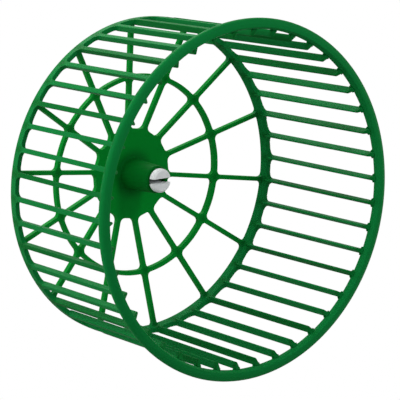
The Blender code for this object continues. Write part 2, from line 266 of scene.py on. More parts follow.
def leave_edit():
    """Back to object mode, with nothing selected."""
    if bpy.context.mode != "OBJECT":
        bpy.ops.object.mode_set(mode="OBJECT")
    bpy.ops.object.select_all(action="DESELECT")


def choose(obj):
    """Select one object alone, in object mode, and make it active."""
    leave_edit()
    obj.select_set(True)
    bpy.context.view_layer.objects.active = obj


def select_mesh():
    """Select all of the mesh that is being edited."""
    bpy.ops.mesh.select_all(action="SELECT")


def edit(obj):
    """Open one object, alone, in edit mode with all of its mesh selected."""
    choose(obj)
    bpy.ops.object.mode_set(mode="EDIT")
    bpy.ops.mesh.select_mode(type="VERT")
    select_mesh()


def pick(obj, kind, test):
    """In edit mode, select the vertices, edges or faces that pass a test, and nothing else."""
    bpy.ops.mesh.select_mode(type=kind)
    bpy.ops.mesh.select_all(action="DESELECT")
    mesh = bmesh.from_edit_mesh(obj.data)
    items = {"VERT": mesh.verts, "EDGE": mesh.edges, "FACE": mesh.faces}[kind]
    items.ensure_lookup_table()
    found = [item for item in items if test(item)]
    if not found:
        raise RuntimeError(f"nothing to select on {obj.name}")
    for item in found:
        item.select_set(True)
    mesh.select_flush_mode()
    bmesh.update_edit_mesh(obj.data)


def name_it(name):
    """Name the active object and its mesh."""
    obj = bpy.context.object
    obj.name = name
    obj.data.name = name
    return obj


def settle(obj):
    """Move an object's place, turn and scale into its mesh."""
    choose(obj)
    bpy.ops.object.transform_apply(location=True, rotation=True, scale=True)


def turn_about_axis(obj, angle):
    """Turn a settled object about the wheel's axis, from +Z towards +X."""
    obj.rotation_euler = (0.0, angle, 0.0)
    settle(obj)


def add_block(name, place, size):
    """Add a block at its place and size, and open it in edit mode."""
    leave_edit()
    bpy.ops.mesh.primitive_cube_add(size=1.0, location=place, scale=size)
    block = name_it(name)
    settle(block)
    edit(block)
    return block


def move(x, y, z):
    """Move what is selected."""
    bpy.ops.transform.translate(value=(x, y, z))


def extrude(x, y, z):
    """Extrude what is selected."""
    bpy.ops.mesh.extrude_region_move(TRANSFORM_OT_translate={"value": (x, y, z)})


def stretch(x, y, z):
    """Scale what is selected about the origin."""
    bpy.ops.transform.resize(value=(x, y, z), center_override=ORIGIN)


def bevel(offset, segments=2, clamp=True):
    """Round the selected edges."""
    bpy.ops.mesh.bevel(offset=offset, segments=segments, affect="EDGES", clamp_overlap=clamp)


def cut(point, normal, **options):
    """Cut the whole mesh by a plane."""
    select_mesh()
    bpy.ops.mesh.bisect(plane_co=point, plane_no=normal, **options)


def draw_profile(name, points, rounding, closed=False):
    """Draw a section in the plane x = 0, by extruding one vertex to each (radius, y) point.

    rounding holds the number of each point to round, the size of its rounding and its segments.
    """
    leave_edit()
    bpy.ops.mesh.primitive_plane_add(size=MM)
    obj = name_it(name)
    edit(obj)
    bpy.ops.mesh.merge(type="CENTER")
    corners = [Vector((0.0, y, radius)) for radius, y in points]
    move(*corners[0])
    for here, there in zip(corners, corners[1:]):
        extrude(*(there - here))
    if closed:
        select_mesh()
        bpy.ops.mesh.edge_face_add()
    for index, offset, segments in rounding:
        pick(obj, "VERT", lambda vert: (vert.co - corners[index]).length < MERGE_DISTANCE)
        bpy.ops.mesh.bevel(offset=offset, segments=segments, affect="VERTICES")
    return obj


def merge(obj):
    """Merge doubles and point the faces outwards."""
    bpy.ops.mesh.select_mode(type="VERT")
    select_mesh()
    bpy.ops.mesh.remove_doubles(threshold=MERGE_DISTANCE)
    select_mesh()
    bpy.ops.mesh.normals_make_consistent(inside=False)


def spin(obj, angle, steps):
    """Spin all of an object's mesh about the wheel's axis and close its seams."""
    select_mesh()
    bpy.ops.mesh.spin(steps=steps, angle=angle, center=ORIGIN, axis=AXLE)
    merge(obj)


def copy_round(obj, count):
    """Copy a sector round the axis and merge the copies."""
    edit(obj)
    turn = math.tau * (count - 1) / count
    bpy.ops.mesh.spin(steps=count - 1, dupli=True, angle=turn, center=ORIGIN, axis=AXLE)
    merge(obj)
    leave_edit()


def roundings(size, *shares):
    """The rounding of each corner of a section, as a share of one size, or 0 for a sharp corner."""
    return [(index, part * size, 3) for index, part in enumerate(shares) if part]


def turn_ring(name, corners, rounding):
    """A closed ring, turned from a section with rounded corners."""
    ring = draw_profile(name, corners, rounding, closed=True)
    pick(ring, "FACE", lambda face: True)
    bpy.ops.mesh.delete(type="ONLY_FACE")
    spin(ring, math.tau, PIN_STEPS)
    leave_edit()
    return ring


def join(target, *others):
    """Join objects into the first one."""
    choose(target)
    for obj in others:
        obj.select_set(True)
    bpy.ops.object.join()
    return target


def copy_of(obj, angle):
    """A separate copy of an object, with its own mesh, turned about the axis."""
    choose(obj)
    bpy.ops.object.duplicate()
    twin = bpy.context.object
    turn_about_axis(twin, angle)
    return twin


def combine(obj, other, operation):
    """Apply an exact Boolean with another object, and delete the other."""
    choose(obj)
    modifier = obj.modifiers.new(operation.lower(), "BOOLEAN")
    modifier.operation = operation
    modifier.solver = "EXACT"
    modifier.object = other
    bpy.ops.object.modifier_apply(modifier=modifier.name)
    bpy.data.objects.remove(other, do_unlink=True)
    return obj


def check_closed(obj):
    """Stop if an object's mesh has an open or a branching edge."""
    mesh = bmesh.new()
    mesh.from_mesh(obj.data)
    loose = sum(1 for edge in mesh.edges if len(edge.link_faces) != 2)
    mesh.free()
    if loose:
        raise RuntimeError(f"{obj.name} has {loose} open edges")


def shade(obj):
    """Smooth shading that keeps flat faces flat."""
    choose(obj)
    bpy.ops.object.shade_smooth_by_angle(angle=CREASE_ANGLE)
    modifier = obj.modifiers.new("even_normals", "WEIGHTED_NORMAL")
    modifier.keep_sharp = True
    bpy.ops.object.modifier_apply(modifier=modifier.name)


def turn_of(place):
    """Angle of a point about the wheel's axis, from +Z towards +X."""
    return math.atan2(place.x, place.z)


def radius_of(place):
    """Distance of a point from the wheel's axis."""
    return math.hypot(place.x, place.z)


def at_station(place, y):
    """Whether a point lies at one station along the axis."""
    return abs(place.y - y) < MERGE_DISTANCE


def fillet_steps(size):
    """Steps of a quarter-round fillet: how far to go on, and how far out to stand, each time."""
    places = []
    for step in range(FILLET_STEPS + 1):
        angle = math.pi / 2 * step / FILLET_STEPS
        places.append((size * math.sin(angle), size * (1.0 - math.cos(angle))))
    return [(b[0] - a[0], b[1] - a[1]) for a, b in zip(places, places[1:])]


def widen(obj, y, amount):
    """Move the two sides of one station apart, away from the rung's middle."""
    for side in (-1.0, 1.0):
        pick(obj, "VERT", lambda vert: at_station(vert.co, y) and vert.co.x * side > 0.0)
        move(side * amount, 0.0, 0.0)


def lift(obj, y, amount, test):
    """Move the vertices of one station that pass a test away from the axis."""
    pick(obj, "VERT", lambda vert: at_station(vert.co, y) and test(vert.co))
    move(0.0, 0.0, amount)


def grow_end(obj, y, step):
    """Extrude the end face at one station along the axis, and return the new station."""
    pick(obj, "FACE", lambda face: all(at_station(vert.co, y) for vert in face.verts))
    extrude(0.0, step, 0.0)
    return y + step


def model_flare(name, wall, towards, size, low, high):
    """A short block that widens in a quarter round on both sides, up to a wall at one station.

    low and high are the (radius, width) of its inner and its outer side before it widens.
    """
    start = wall + towards * (SINK / 15 - size)
    middle = (low[0] + high[0]) / 2
    place = (0.0, start - towards * SINK / 2, middle)
    flare = add_block(name, place, (high[1], SINK, high[0] - low[0]))
    pick(flare, "VERT", lambda vert: vert.co.z < middle)
    stretch(low[1] / high[1], 1.0, 1.0)
    y = start
    for along, out in fillet_steps(size):
        y = grow_end(flare, y, towards * along)
        widen(flare, y, out)
    y = grow_end(flare, y, towards * SINK)
    return flare, y


def model_rung(drum):
    """One rung, straight up from the axis, with fillets where it meets the ring and the rim."""
    back_radius = drum.ring_radius + drum.rung_proud
    inner_rim = drum.rim_radius - drum.rim_wall
    front_radius = inner_rim - drum.rung_drop
    ring_front = RING_LOW.y
    ring_inner = drum.ring_radius - drum.ring_wall
    rim_back = RIM_HIGH.y
    y_back = ring_front - drum.root_fillet
    y_front = rim_back - drum.rung_lap - 4 * SINK
    slope = (front_radius - back_radius) / (ring_front - rim_back)
    height = drum.rung_height
    middle = back_radius - height / 2
    narrow = drum.rung_inner_width / drum.rung_outer_width
    place = (0.0, (y_back + y_front) / 2, middle)
    rung = add_block("rung", place, (drum.rung_outer_width, y_back - y_front, height))
    pick(rung, "VERT", lambda vert: vert.co.z < middle)
    stretch(narrow, 1.0, 1.0)
    pick(rung, "VERT", lambda vert: at_station(vert.co, y_front))
    move(0.0, 0.0, slope * (ring_front - y_front))
    pick(rung, "EDGE", lambda edge: abs(edge.verts[0].co.y - edge.verts[1].co.y) > height)
    bevel(drum.rung_edge)

    # The back end comes down flush with the ring, then runs out inside it
    y = grow_end(rung, y_back, drum.root_fillet)
    lift(rung, y, -(drum.rung_proud + HAIR), lambda place: place.z > middle)
    y = grow_end(rung, y, 2 * SINK)
    lift(rung, y, -SINK, lambda place: place.z > middle)
    lift(rung, y, ring_inner + SINK - (back_radius - height), lambda place: place.z < ring_inner)

    # The front end laps under the rim and slants back towards its inner edge
    slant = drum.rung_slant / (height + drum.rung_drop)
    normal = Vector((0.0, -1.0, -slant)).normalized()
    cut((0.0, rim_back - drum.rung_lap, inner_rim), normal, use_fill=True, clear_outer=True)
    end_edge_share = 0.7
    bevel(drum.rung_edge * end_edge_share)
    merge(rung)

    def width_at(depth):
        """Just under the width of a rung, at a depth below its outer face."""
        return drum.rung_outer_width * (1.0 - (1.0 - narrow) * depth / height) - HAIR

    root_low = ring_inner + SINK / 10
    root_high = drum.ring_radius - HAIR
    low = (root_low, width_at(back_radius - root_low))
    high = (root_high, width_at(back_radius - root_high))
    root, _ = model_flare("rung_root", ring_front, 1.0, drum.root_fillet, low, high)
    mouth_low = front_radius - drum.mouth_depth
    low = (mouth_low, width_at(drum.mouth_depth))
    high = (inner_rim + SINK, width_at(0.0))
    mouth, y = model_flare("rung_mouth", rim_back, -1.0, drum.mouth_fillet, low, high)
    lift(mouth, y, inner_rim + SINK / 2 - mouth_low, lambda place: place.z < front_radius)
    combine(rung, root, "UNION")
    return combine(rung, mouth, "UNION")


def model_hoop(name, corners, rounding, angle):
    """An arc of a hoop as long as one rung's share of the drum."""
    hoop = draw_profile(name, corners, rounding, closed=True)
    spin(hoop, angle, STEPS_PER_RUNG)
    turn_about_axis(hoop, angle / 2)
    return hoop


def drop_faces(obj, test):
    """Delete the faces whose vertices all pass a test."""
    edit(obj)
    pick(obj, "FACE", lambda face: all(test(vert.co) for vert in face.verts))
    bpy.ops.mesh.delete(type="FACE")


def model_drum(drum):
    """The rim, the back ring and the rungs: one sector of them, copied round the axis."""
    angle = math.tau / RUNGS
    edge = drum.edge_round
    rim_back = RIM_HIGH.y
    rim_front = RIM_LOW.y
    inner = drum.rim_radius - drum.rim_wall
    rim_corners = [
        (inner, rim_front + drum.lip_depth),
        (inner + drum.lip_width, rim_front),
        (drum.rim_radius - drum.crown_width, rim_front),
        (drum.rim_radius, rim_front + drum.crown_depth),
        (drum.rim_radius - drum.rim_draft, rim_back),
        (inner, rim_back),
    ]
    outer_front = (3, drum.rim_front_round, 5)
    rim_rounding = [(0, edge, 2), (1, edge, 3), (2, edge, 2), outer_front, (4, edge, 2), (5, edge / 2, 2)]
    rim = model_hoop("rim_arc", rim_corners, rim_rounding, angle)
    ring_back = RING_HIGH.y
    ring_corners = [
        (drum.ring_radius - drum.ring_wall, RING_LOW.y),
        (drum.ring_radius, RING_LOW.y),
        (drum.ring_radius - drum.ring_taper, ring_back),
        (drum.ring_radius - drum.ring_wall - drum.ring_draft, ring_back),
    ]
    ring = model_hoop("ring_arc", ring_corners, [(index, edge, 2) for index in range(4)], angle)
    sector = combine(model_rung(drum), join(rim, ring), "UNION")
    sector.name = "drum"
    drop_faces(sector, lambda place: abs(turn_of(place)) > angle / 2 - SEAM_ANGLE)
    copy_round(sector, RUNGS)
    check_closed(sector)
    return sector


def model_window(name, web, inner, outer, flat=None):
    """A prism with rounded corners that cuts one window of the flat web, straight up."""
    half = math.pi / SPOKES
    leave_edit()
    bpy.ops.mesh.primitive_circle_add(
        vertices=ROUND_STEPS, radius=inner, fill_type="NOTHING", rotation=(math.pi / 2, 0.0, 0.0)
    )
    window = name_it(name)
    settle(window)
    edit(window)
    bpy.ops.mesh.extrude_edges_move()
    stretch(outer / inner, 1.0, outer / inner)
    for side in (-1.0, 1.0):
        across = Vector((side * math.cos(half), 0.0, -math.sin(half)))
        cut(-across * web.spoke_width / 2, across, clear_outer=True)
    if flat:
        cut((0.0, 0.0, flat), (0.0, 0.0, 1.0), clear_inner=True)
    select_mesh()
    bpy.ops.mesh.dissolve_limited(angle_limit=FLAT_ANGLE)

    def is_corner(vert):
        return vert.calc_edge_angle() > CORNER_ANGLE

    # Arc points too near a corner make room for its rounding
    mesh = bmesh.from_edit_mesh(window.data)
    corners = [vert.co.copy() for vert in mesh.verts if is_corner(vert)]
    room_share = 1.1

    def crowds(vert):
        near = min((vert.co - corner).length for corner in corners)
        return MERGE_DISTANCE < near < web.window_corner * room_share

    if any(crowds(vert) for vert in mesh.verts):
        pick(window, "VERT", crowds)
        bpy.ops.mesh.dissolve_verts()
    pick(window, "VERT", is_corner)
    bpy.ops.mesh.bevel(offset=web.window_corner, segments=4, affect="VERTICES")
    select_mesh()
    depth = web.thickness + 2 * OVERRUN
    move(0.0, -depth / 2, 0.0)
    extrude(0.0, depth, 0.0)
    merge(window)
    return window


def model_boss(web):
    """The tapered tube and the round part of the hub under it, placed for the flat web."""
    half = web.thickness / 2
    tip = BOSS_LOW.y - (SPIDER_HIGH.y - half)
    corners = [
        (web.boss_land, -half),
        (web.boss_base_radius, -half),
        (web.boss_tip_radius, tip),
        (web.bore_radius, tip),
        (web.bore_radius, half),
        (web.boss_land, half),
    ]
    bore_rounding = [(3, web.edge_round, 2), (4, web.edge_round, 2)]
    rounding = [(1, web.boss_fillet, 4), (2, web.boss_tip_round, 3), *bore_rounding]
    boss = draw_profile("boss", corners, rounding)
    spin(boss, math.tau, ROUND_STEPS)
    return boss


def model_web(drum, web):
    """The hub, the spokes and the middle ring: one flat sector, copied round and then dished."""
    angle = math.tau / SPOKES
    half = web.thickness / 2
    ring_inner = drum.ring_radius - drum.ring_wall
    outer = ring_inner + SINK
    section = [(web.boss_land, -half), (outer, -half), (outer, half), (web.boss_land, half)]
    sector = draw_profile("web", section, [], closed=True)
    spin(sector, angle, ROUND_STEPS // SPOKES)
    bpy.ops.mesh.dissolve_limited(angle_limit=FLAT_ANGLE)
    turn_about_axis(sector, angle / 2)

    mid_inner = web.mid_ring_radius - web.mid_ring_width / 2
    mid_outer = web.mid_ring_radius + web.mid_ring_width / 2
    start_share = 0.9
    cutters = []
    for window in (
        model_window("inner_window", web, web.hub_flat * start_share, mid_inner, web.hub_flat),
        model_window("outer_window", web, mid_outer, web.window_reach),
    ):
        cutters += [copy_of(window, -angle / 2), copy_of(window, angle / 2)]
        bpy.data.objects.remove(window, do_unlink=True)
    combine(sector, join(*cutters), "DIFFERENCE")
    land = web.boss_land + MERGE_DISTANCE
    drop_faces(sector, lambda place: abs(turn_of(place)) > angle / 2 - SEAM_ANGLE)
    drop_faces(sector, lambda place: radius_of(place) < land)

    def outlines_window(edge):
        if len(edge.link_faces) != 2:
            return False
        middle = (edge.verts[0].co + edge.verts[1].co) / 2
        facing = sorted(abs(face.normal.y) for face in edge.link_faces)
        return facing[0] < 0.5 < facing[1] and land < radius_of(middle) < ring_inner

    pick(sector, "EDGE", outlines_window)
    bevel(web.edge_round)
    fold = web.hub_flat / math.cos(angle / 2) + web.window_corner / 3
    cut((0.0, 0.0, fold), (0.0, 0.0, 1.0))
    select_mesh()
    bpy.ops.mesh.quads_convert_to_tris(quad_method="BEAUTY", ngon_method="BEAUTY")
    copy_round(sector, SPOKES)

    joined = join(sector, model_boss(web))
    edit(joined)
    merge(joined)
    pick(joined, "VERT", lambda vert: radius_of(vert.co) < fold + MERGE_DISTANCE)
    bpy.ops.transform.translate(
        value=(0.0, web.dish, 0.0),
        use_proportional_edit=True,
        proportional_edit_falloff="LINEAR",
        proportional_size=ring_inner - fold,
    )
    select_mesh()
    move(0.0, SPIDER_HIGH.y - half - web.dish, 0.0)
    leave_edit()
    check_closed(joined)
    return joined


class Wire:
    """One socket of a node tree. Sums of wires add Math nodes to the tree."""

    def __init__(self, tree, socket=None):
        self.tree = tree
        self.socket = socket

    def add(self, kind, settings=(), values=(), output=0):
        """Add a node, set it up, fill its sockets with values or wires, and return one output."""
        node = self.tree.nodes.new(kind)
        for name, value in dict(settings).items():
            setattr(node, name, value)
        for name, value in dict(values).items():
            if isinstance(value, Wire):
                self.tree.links.new(value.socket, node.inputs[name])
            else:
                node.inputs[name].default_value = value
        return Wire(self.tree, node.outputs[output])

    def also(self, output):
        """Another output of the same node."""
        return Wire(self.tree, self.socket.node.outputs[output])

    def maths(self, operation, *values, clamp=False):
        """A Math node on some values or wires."""
        settings = {"operation": operation, "use_clamp": clamp}
        return self.add("ShaderNodeMath", settings, dict(enumerate(values)))

    def __add__(self, other):
        return self.maths("ADD", self, other)

    def __sub__(self, other):
        return self.maths("SUBTRACT", self, other)

    def __rsub__(self, other):
        return self.maths("SUBTRACT", other, self)

    def __mul__(self, other):
        return self.maths("MULTIPLY", self, other)

    def __pow__(self, other):
        return self.maths("POWER", self, other)

    def __rpow__(self, other):
        return self.maths("POWER", other, self)

    def __abs__(self):
        return self.maths("ABSOLUTE", self)

    __radd__ = __add__
    __rmul__ = __mul__


def largest(first, *others):
    """The largest of some wires."""
    for other in others:
        first = first.maths("MAXIMUM", first, other)
    return first


def solid(rgb):
    """A colour property as four numbers."""
    return (*rgb, 1.0)


def mixed(wire, factor, first, second):
    """Mix two colours by a factor."""
    return wire.add("ShaderNodeMix", {"data_type": "RGBA"}, {0: factor, 6: first, 7: second}, output=2)


def smooth_step(wire, low, high, at_low, at_high):
    """A smooth change from one value to another while the wire goes from low to high."""
    settings = {"interpolation_type": "SMOOTHSTEP"}
    ends = {"From Min": low, "From Max": high, "To Min": at_low, "To Max": at_high}
    return wire.add("ShaderNodeMapRange", settings, {"Value": wire, **ends})


def near_zero(wire, reach):
    """1 where a distance is nothing, falling smoothly to 0 at a reach."""
    return smooth_step(wire, 0.0, reach, 1.0, 0.0)


def noise(place, scale, detail):
    """Soft noise round a half, finer at a larger scale."""
    return place.add("ShaderNodeTexNoise", {}, {"Vector": place, "Scale": scale, "Detail": detail})


def sway(wire, amount):
    """A noise as a change to both sides of nothing."""
    return (wire - 0.5) * amount


def new_material(name, constants):
    """A material, its shader with some sockets set, and the wire that its node tree grows from."""
    material = bpy.data.materials.new(name)
    material.use_nodes = True
    shader = material.node_tree.nodes["Principled BSDF"]
    for socket, value in constants.items():
        shader.inputs[socket].default_value = value
    return material, shader, Wire(material.node_tree)


def connect(wire, shader, socket):
    """Link a wire to one of a shader's sockets."""
    wire.tree.links.new(wire.socket, shader.inputs[socket])


def bump(height, distance, strength, shader):
    """Let a height shape the shader's normal."""
    values = {"Strength": strength, "Distance": distance, "Height": height}
    connect(height.add("ShaderNodeBump", {}, values), shader, "Normal")


def green_plastic(finish, drum, web):
    """Semi-gloss moulded green, with painted shade where walls meet and round the boss, painted light on the
    thinner web, and faint flow and orange peel.
    """
    constants = {
        "Roughness": finish.green_roughness,
        "Specular IOR Level": 0.03,
        "Specular Tint": (0.30, 1.0, 1.0, 1.0),
        "Subsurface Weight": 0.12,
        "Subsurface Radius": (0.10, 1.0, 0.25),
        "Subsurface Scale": 1.5 * MM,
    }
    material, shader, start = new_material("green_moulded_plastic", constants)
    place = start.add("ShaderNodeTexCoord", output="Object")
    x = place.add("ShaderNodeSeparateXYZ", {}, {0: place})
    y = x.also("Y")
    z = x.also("Z")
    radius = (x * x + z * z) ** 0.5
    turn = x.maths("ARCTAN2", x, z) - REST_TURN

    def off_line(count):
        """Distance from the nearest of some evenly spaced lines out from the axis."""
        parts = turn * (count / math.tau) + 0.5
        return abs(x.maths("FRACT", parts) - 0.5) * radius * (math.tau / count)

    def meeting(off, width, away, reach):
        """1 where a line meets a wall, falling to 0 across the line and away from the wall."""
        return near_zero(off, width) * near_zero(abs(away), reach)

    # Painted shade: how far from each kind of joint, and round the boss, the green is darkened where shade
    # falls, across and along
    off_spoke = off_line(SPOKES)
    off_rung = off_line(RUNGS)
    root_middle = RING_LOW.y + 1.0 * MM
    mouth_middle = RIM_HIGH.y + 0.2 * MM
    boss_shade_reach = 6.5 * MM
    boss_shade_share = 1.25
    painted_shade = largest(
        meeting(off_spoke, 2.6 * MM, radius - web.mid_ring_radius, 2.6 * MM),
        meeting(off_rung, 2.6 * MM, y - root_middle, 3.6 * MM),
        meeting(off_spoke, 3.2 * MM, radius - drum.ring_radius, 3.6 * MM),
        meeting(off_rung, 2.8 * MM, y - mouth_middle, 2.2 * MM),
        near_zero(abs(radius - web.boss_tip_radius), boss_shade_reach) * boss_shade_share,
    )

    # Clouds and long streaks along the flow change the depth of the colour and the gloss
    cloud = noise(place, scale=55.0, detail=3.0)
    along_flow = (260.0, 42.0, 260.0)
    flow = place.add("ShaderNodeMapping", {"vector_type": "POINT"}, {"Vector": place, "Scale": along_flow})
    streaks = noise(flow, scale=1.0, detail=4.0)
    painted_shade_share = 0.62
    plain_share = 0.10
    # The depth of the green is the painted shade at the joints and round the boss, with the clouds and
    # streaks on top
    depth = painted_shade * painted_shade_share + sway(cloud, 0.25) + sway(streaks, 0.12)
    depth = depth.maths("ADD", depth, plain_share, clamp=True)
    # Painted light: the web is given a brighter green, standing in for light from behind that shines through
    # it
    web_edge = web.window_reach - 3.0 * MM
    painted_backlight_mask = near_zero(radius - web_edge, 2.0 * MM)
    walls = mixed(place, painted_backlight_mask, solid(finish.green), solid(finish.web_green))
    connect(mixed(place, depth, walls, solid(finish.deep_green)), shader, "Base Color")
    connect(finish.green_roughness + sway(streaks, 0.08) + sway(cloud, 0.08), shader, "Roughness")
    peel = noise(place, scale=1500.0, detail=2.0) * 0.35 + noise(place, scale=320.0, detail=1.0) * 0.65
    bump(peel, 0.06 * MM, 0.5, shader)
    return material


def white_plastic(finish):
    """Satin pale plastic with faint flow marks."""
    constants = {
        "Roughness": finish.white_roughness,
        "Specular IOR Level": 0.5,
        "Subsurface Weight": 0.10,
        "Subsurface Radius": (1.0, 0.95, 0.9),
        "Subsurface Scale": 0.8 * MM,
    }
    material, shader, start = new_material("white_moulded_plastic", constants)
    place = start.add("ShaderNodeTexCoord", output="Object")
    cloud = noise(place, scale=260.0, detail=3.0)
    fine = noise(place, scale=1600.0, detail=2.0)
    mark_share = 0.9
    mark_start = 0.2
    marks = cloud * mark_share + sway(fine, 0.3)
    marks = marks.maths("SUBTRACT", marks, mark_start, clamp=True)
    connect(mixed(place, marks, solid(finish.white), solid(finish.shaded_white)), shader, "Base Color")
    connect(finish.white_roughness + sway(cloud, 0.2), shader, "Roughness")
    bump(fine * 0.6 + cloud * 0.4, 0.05 * MM, 0.4, shader)
    return material


def finish_piece(obj, body, slot, material, *nodes):
    """Shade a closed piece, give it its material and body, and hide the imported nodes it stands for. The
    slot is not used.
    """
    check_closed(obj)
    shade(obj)
    leave_edit()
    obj.data.materials.clear()
    obj.data.materials.append(material)
    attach(obj, body)
    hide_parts(*nodes)


class HAMSTERWHEEL_OT_wheel(bpy.types.Operator):
    """Model the green wheel, from rim to boss, as one moulding"""

    bl_idname = "hamsterwheel.wheel"
    bl_label = "Wheel moulding"

    def execute(self, context):
        settings = context.scene
        drum = settings.hamsterwheel_drum
        web = settings.hamsterwheel_web
        combine(model_drum(drum), model_web(drum, web), "UNION")
        wheel = name_it("wheel_moulding")
        turn_about_axis(wheel, REST_TURN)
        material = green_plastic(settings.hamsterwheel_finish, drum, web)
        finish_piece(wheel, "wheel", "wheel_green", material, *WHEEL_NODES)
        return {"FINISHED"}


class HAMSTERWHEEL_OT_pin(bpy.types.Operator):
    """Model the axle pin: split snap head, shank, collar and stud"""

    bl_idname = "hamsterwheel.pin"
    bl_label = "Axle pin"

    def execute(self, context):
        sizes = context.scene.hamsterwheel_fixing
        tip = PIN_LOW.y
        head_base = tip + sizes.head_length
        collar_back = WALL_LOW.y - sizes.stud_gap
        collar_front = collar_back - sizes.collar_thickness
        corners = [
            (0.0, tip),
            (sizes.head_tip_radius, tip),
            (sizes.head_radius, head_base - sizes.head_land),
            (sizes.head_radius, head_base),
            (sizes.shank_radius, head_base),
            (sizes.shank_radius, collar_front),
            (sizes.collar_radius, collar_front),
            (sizes.collar_radius, collar_back),
            (sizes.stud_radius, collar_back),
            (sizes.stud_radius, PIN_HIGH.y),
            (0.0, PIN_HIGH.y),
        ]
        rounding = roundings(sizes.edge_round, 0, 0.6, 0.6, 0.4, 0, 0.8, 1.0, 1.0, 0, 1.2)
        pin = draw_profile("axle_pin_moulding", corners, rounding)
        spin(pin, math.tau, PIN_STEPS)
        slot_root = tip + sizes.slot_depth
        combine(pin, self.model_slot(sizes, slot_root), "DIFFERENCE")

        # The lower prong has taken a slight set outwards
        edit(pin)
        pick(pin, "VERT", lambda vert: vert.co.y < slot_root - SINK and vert.co.z < 0.0)
        bpy.ops.transform.rotate(
            value=-math.atan(sizes.lower_spread / sizes.slot_depth),
            orient_axis="X",
            center_override=(0.0, slot_root, -sizes.shank_radius / 2),
        )
        leave_edit()
        material = white_plastic(context.scene.hamsterwheel_finish)
        finish_piece(pin, "fixing", "pin_white", material, "axle_pin")
        return {"FINISHED"}

    def model_slot(self, sizes, slot_root):
        """The cutter for the slot, with a round root."""
        slot_length = sizes.slot_depth + OVERRUN
        place = (0.0, slot_root - slot_length / 2, 0.0)
        slot = add_block("pin_slot", place, (4 * sizes.head_radius, slot_length, sizes.slot_width))

        def crosses_root(edge):
            level = abs(edge.verts[0].co.z - edge.verts[1].co.z) < MERGE_DISTANCE
            return level and all(at_station(vert.co, slot_root) for vert in edge.verts)

        pick(slot, "EDGE", crosses_root)
        root_share = 0.45
        bevel(sizes.slot_width * root_share, 4, clamp=False)
        return slot


class HAMSTERWHEEL_OT_plates(bpy.types.Operator):
    """Model the two round plates that grip the cage wires"""

    bl_idname = "hamsterwheel.plates"
    bl_label = "Wall and clamp plates"

    def execute(self, context):
        sizes = context.scene.hamsterwheel_fixing
        material = white_plastic(context.scene.hamsterwheel_finish)
        hole = sizes.stud_radius + sizes.stud_gap
        boss = hole + BOSS_WALL
        edge_share = 0.45
        slope_share = 0.72
        boss_foot_share = 0.765
        rounding = roundings(sizes.edge_round, 0.5, 0.8, 1.0, 1.0, 0.8, 0.7, 0.5)
        for node, slot, radius, bearing, back in (
            ("wall_plate", "pin_white", WALL_HIGH.z, WALL_HIGH.y, WALL_LOW.y),
            ("clamp_plate", "clamp_white", CLAMP_HIGH.z, CLAMP_LOW.y, CLAMP_HIGH.y),
        ):
            thickness = back - bearing
            corners = [
                (hole, bearing),
                (radius, bearing),
                (radius, bearing + thickness * edge_share),
                (radius - PLATE_SLOPE, bearing + thickness * slope_share),
                (boss + BOSS_FOOT, bearing + thickness * boss_foot_share),
                (boss, back),
                (hole, back),
            ]
            plate = turn_ring(node + "_moulding", corners, rounding)
            finish_piece(plate, "fixing", slot, material, node)
        return {"FINISHED"}


class HAMSTERWHEEL_OT_nut(bpy.types.Operator):
    """Model the wing nut that closes the clamp"""

    bl_idname = "hamsterwheel.nut"
    bl_label = "Wing nut"

    def execute(self, context):
        sizes = context.scene.hamsterwheel_fixing
        hole = sizes.stud_radius + sizes.stud_gap
        corners = [
            (hole, NUT_LOW.y),
            (sizes.nut_radius, NUT_LOW.y),
            (sizes.nut_radius - NUT_TAPER, NUT_HIGH.y),
            (hole, NUT_HIGH.y),
        ]
        rounding = roundings(sizes.edge_round, 0.6, 0.8, 1.2, 0.8)
        nut = turn_ring("wing_nut_moulding", corners, rounding)
        for side in (-1.0, 1.0):
            combine(nut, self.model_wing(sizes, side, hole + WING_START, NUT_HIGH.z), "UNION")
        material = white_plastic(context.scene.hamsterwheel_finish)
        finish_piece(nut, "fixing", "clamp_white", material, "wing_nut")
        return {"FINISHED"}

    def model_wing(self, sizes, side, root, reach):
        """One wing, with a round end and a shallow hollow in each side."""
        middle = (root + reach) / 2
        place = (0.0, (NUT_LOW.y + NUT_HIGH.y) / 2, side * middle)
        wing = add_block("nut_wing", place, (sizes.wing_thickness, 2 * sizes.wing_end_radius, reach - root))

        def crosses_end(edge):
            across = abs(edge.verts[0].co.x - edge.verts[1].co.x) > MERGE_DISTANCE
            return across and all(vert.co.z * side > middle for vert in edge.verts)

        pick(wing, "EDGE", crosses_end)
        end_share = 0.98
        bevel(sizes.wing_end_radius * end_share, 6, clamp=False)
        pick(wing, "FACE", lambda face: abs(face.normal.x) > 0.9)
        bpy.ops.mesh.inset(thickness=WING_BORDER, depth=-WING_HOLLOW)
        pick(wing, "EDGE", lambda edge: edge.calc_face_angle(0.0) > 0.9)
        bevel(WING_ROUND)
        return wing


